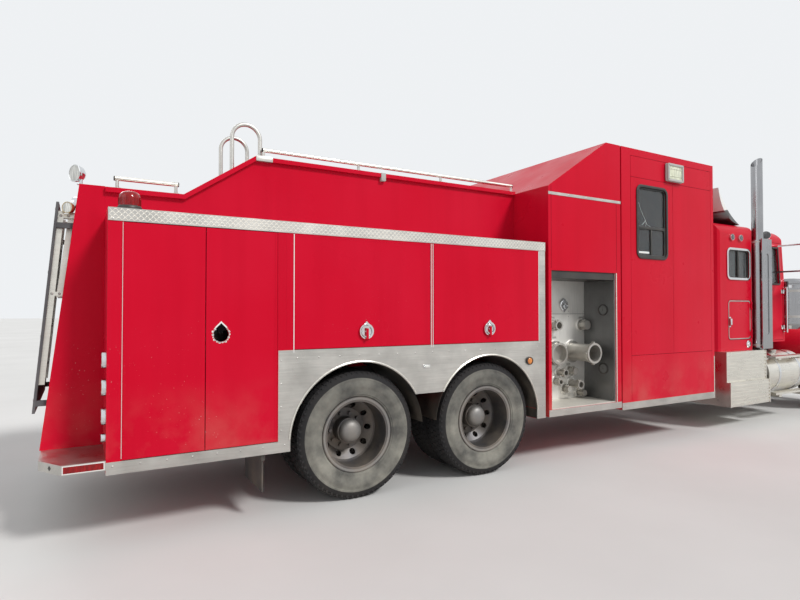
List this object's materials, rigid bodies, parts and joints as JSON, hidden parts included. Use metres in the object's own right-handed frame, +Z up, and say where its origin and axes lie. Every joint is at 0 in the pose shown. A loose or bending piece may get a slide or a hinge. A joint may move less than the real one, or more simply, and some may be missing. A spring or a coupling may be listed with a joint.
{
  "type": "airport fire truck, long-nosed pumper and water tanker",
  "caption": "Long-nosed fire truck with sleeper cab, crew cabin, pump house with open side recesses, water tank and side lockers, on single front and twin tandem rear wheels.",
  "frame": {"origin": "middle of the truck's length and width, on the floor under its tyres", "axes": "+X towards the bumper, +Y to the truck's left, +Z up"},
  "size_m": [11.68, 3.04, 3.81],
  "materials": {
    "red_paint": "gloss red coach paint, faded",
    "chassis_black": "satin black",
    "engine_grey": "satin grey",
    "seat_trim": "dark grey cloth and trim",
    "window_glass": "dark tinted",
    "stainless": "brushed stainless sheet",
    "cast_fitting": "dull cast fittings with worn brass rings",
    "aluminium_trim": "bright and scuffed",
    "dark_board": "dark grey",
    "lamp_lens": "red and amber lenses, chrome bodies",
    "chrome_parts": "polished",
    "white_paint": "gloss white",
    "tyre_rubber": "dusty rubber",
    "wheel_steel": "dull silver grey"
  },
  "bodies": {
    "root": {"chassis": "chassis_black", "cross_members": "chassis_black", "engine": "engine_grey", "front_axle": "chassis_black", "rear_axles": "chassis_black", "cab": "red_paint", "sleeper": "red_paint", "crew_cabin": "red_paint", "seats": "seat_trim", "glazing": "window_glass", "pump_house": "red_paint", "pump_panel": "stainless", "pump_fittings": "cast_fitting", "tank": "red_paint", "lockers_right": "red_paint", "lockers_left": "red_paint", "body_trim": "aluminium_trim", "rear_bay": "red_paint", "rear_board": "dark_board", "rear_step": "aluminium_trim", "ladder": "aluminium_trim", "roof_rails": "aluminium_trim", "lamps": "lamp_lens", "fuel_tanks": "aluminium_trim", "step_boxes": "aluminium_trim", "exhausts": "chrome_parts", "air_cleaners": "chrome_parts", "bumper": "chrome_parts", "roof_deflector": "white_paint"},
    "hood": {"hood": "red_paint", "grille": "chrome_parts", "headlamps": "chrome_parts"},
    "cab_door_right": {"cab_door_right": "red_paint", "cab_glass_right": "window_glass"},
    "sleeper_hatch_right": {"sleeper_hatch_right": "red_paint"},
    "tall_rear_right": {"tall_rear_right": "red_paint"},
    "tall_front_right": {"tall_front_right": "red_paint"},
    "lift_rear_right": {"lift_rear_right": "red_paint"},
    "lift_front_right": {"lift_front_right": "red_paint"},
    "knuckle_right": {"knuckle_right": "chassis_black"},
    "wheel_front_right": {"tyre_front_right": "tyre_rubber", "rim_front_right": "wheel_steel"},
    "wheels_rear1_right": {"tyres_rear1_right": "tyre_rubber", "rims_rear1_right": "wheel_steel"},
    "wheels_rear2_right": {"tyres_rear2_right": "tyre_rubber", "rims_rear2_right": "wheel_steel"},
    "cab_door_left": {"cab_door_left": "red_paint", "cab_glass_left": "window_glass"},
    "sleeper_hatch_left": {"sleeper_hatch_left": "red_paint"},
    "tall_rear_left": {"tall_rear_left": "red_paint"},
    "tall_front_left": {"tall_front_left": "red_paint"},
    "lift_rear_left": {"lift_rear_left": "red_paint"},
    "lift_front_left": {"lift_front_left": "red_paint"},
    "knuckle_left": {"knuckle_left": "chassis_black"},
    "wheel_front_left": {"tyre_front_left": "tyre_rubber", "rim_front_left": "wheel_steel"},
    "wheels_rear1_left": {"tyres_rear1_left": "tyre_rubber", "rims_rear1_left": "wheel_steel"},
    "wheels_rear2_left": {"tyres_rear2_left": "tyre_rubber", "rims_rear2_left": "wheel_steel"}
  },
  "joints": [
    {"name": "hood_tilt", "type": "hinge", "parent": "root", "child": "hood", "pos_m": [5.71, 0, 0.89], "axis": [0, 1, 0], "range_deg": [0, 70]},
    {"name": "cab_door_right_hinge", "type": "hinge", "parent": "root", "child": "cab_door_right", "pos_m": [3.9025, -0.992, 1.88], "axis": [0, 0, 1], "range_deg": [0, 70]},
    {"name": "sleeper_hatch_right_hinge", "type": "hinge", "parent": "root", "child": "sleeper_hatch_right", "pos_m": [2.7025, -1.142, 1.4575], "axis": [0, 0, 1], "range_deg": [0, 110]},
    {"name": "tall_rear_right_hinge", "type": "hinge", "parent": "root", "child": "tall_rear_right", "pos_m": [-5.2925, -1.2735, 1.39], "axis": [0, 0, -1], "range_deg": [0, 90]},
    {"name": "tall_front_right_hinge", "type": "hinge", "parent": "root", "child": "tall_front_right", "pos_m": [-4.2175, -1.2735, 1.39], "axis": [0, 0, 1], "range_deg": [0, 90]},
    {"name": "lift_rear_right_hinge", "type": "hinge", "parent": "root", "child": "lift_rear_right", "pos_m": [-3.4425, -1.2723, 2.1975], "axis": [-1, 0, 0], "range_deg": [0, 90]},
    {"name": "lift_front_right_hinge", "type": "hinge", "parent": "root", "child": "lift_front_right", "pos_m": [-2.1325, -1.2723, 2.1975], "axis": [-1, 0, 0], "range_deg": [0, 90]},
    {"name": "steer_right", "type": "hinge", "parent": "root", "child": "knuckle_right", "pos_m": [5.07, -0.88, 0.542], "axis": [0, 0, 1], "range_deg": [-35, 35]},
    {"name": "roll_front_right", "type": "hinge", "parent": "knuckle_right", "child": "wheel_front_right", "pos_m": [5.07, -0.985, 0.542], "axis": [0, 1, 0], "continuous": true},
    {"name": "roll_rear1_right", "type": "hinge", "parent": "root", "child": "wheels_rear1_right", "pos_m": [-3.5, -0.92, 0.542], "axis": [0, 1, 0], "continuous": true},
    {"name": "roll_rear2_right", "type": "hinge", "parent": "root", "child": "wheels_rear2_right", "pos_m": [-2.13, -0.92, 0.542], "axis": [0, 1, 0], "continuous": true},
    {"name": "cab_door_left_hinge", "type": "hinge", "parent": "root", "child": "cab_door_left", "pos_m": [3.9025, 0.992, 1.88], "axis": [0, 0, -1], "range_deg": [0, 70]},
    {"name": "sleeper_hatch_left_hinge", "type": "hinge", "parent": "root", "child": "sleeper_hatch_left", "pos_m": [2.7025, 1.142, 1.4575], "axis": [0, 0, -1], "range_deg": [0, 110]},
    {"name": "tall_rear_left_hinge", "type": "hinge", "parent": "root", "child": "tall_rear_left", "pos_m": [-5.2925, 1.2735, 1.39], "axis": [0, 0, 1], "range_deg": [0, 90]},
    {"name": "tall_front_left_hinge", "type": "hinge", "parent": "root", "child": "tall_front_left", "pos_m": [-4.2175, 1.2735, 1.39], "axis": [0, 0, -1], "range_deg": [0, 90]},
    {"name": "lift_rear_left_hinge", "type": "hinge", "parent": "root", "child": "lift_rear_left", "pos_m": [-3.4425, 1.2723, 2.1975], "axis": [1, 0, 0], "range_deg": [0, 90]},
    {"name": "lift_front_left_hinge", "type": "hinge", "parent": "root", "child": "lift_front_left", "pos_m": [-2.1325, 1.2723, 2.1975], "axis": [1, 0, 0], "range_deg": [0, 90]},
    {"name": "steer_left", "type": "hinge", "parent": "root", "child": "knuckle_left", "pos_m": [5.07, 0.88, 0.542], "axis": [0, 0, 1], "range_deg": [-35, 35]},
    {"name": "roll_front_left", "type": "hinge", "parent": "knuckle_left", "child": "wheel_front_left", "pos_m": [5.07, 0.985, 0.542], "axis": [0, 1, 0], "continuous": true},
    {"name": "roll_rear1_left", "type": "hinge", "parent": "root", "child": "wheels_rear1_left", "pos_m": [-3.5, 0.92, 0.542], "axis": [0, 1, 0], "continuous": true},
    {"name": "roll_rear2_left", "type": "hinge", "parent": "root", "child": "wheels_rear2_left", "pos_m": [-2.13, 0.92, 0.542], "axis": [0, 1, 0], "continuous": true}
  ],
  "couplings": [
    {"joint": "steer_left", "follows": "steer_right", "ratio": 1}
  ]
}
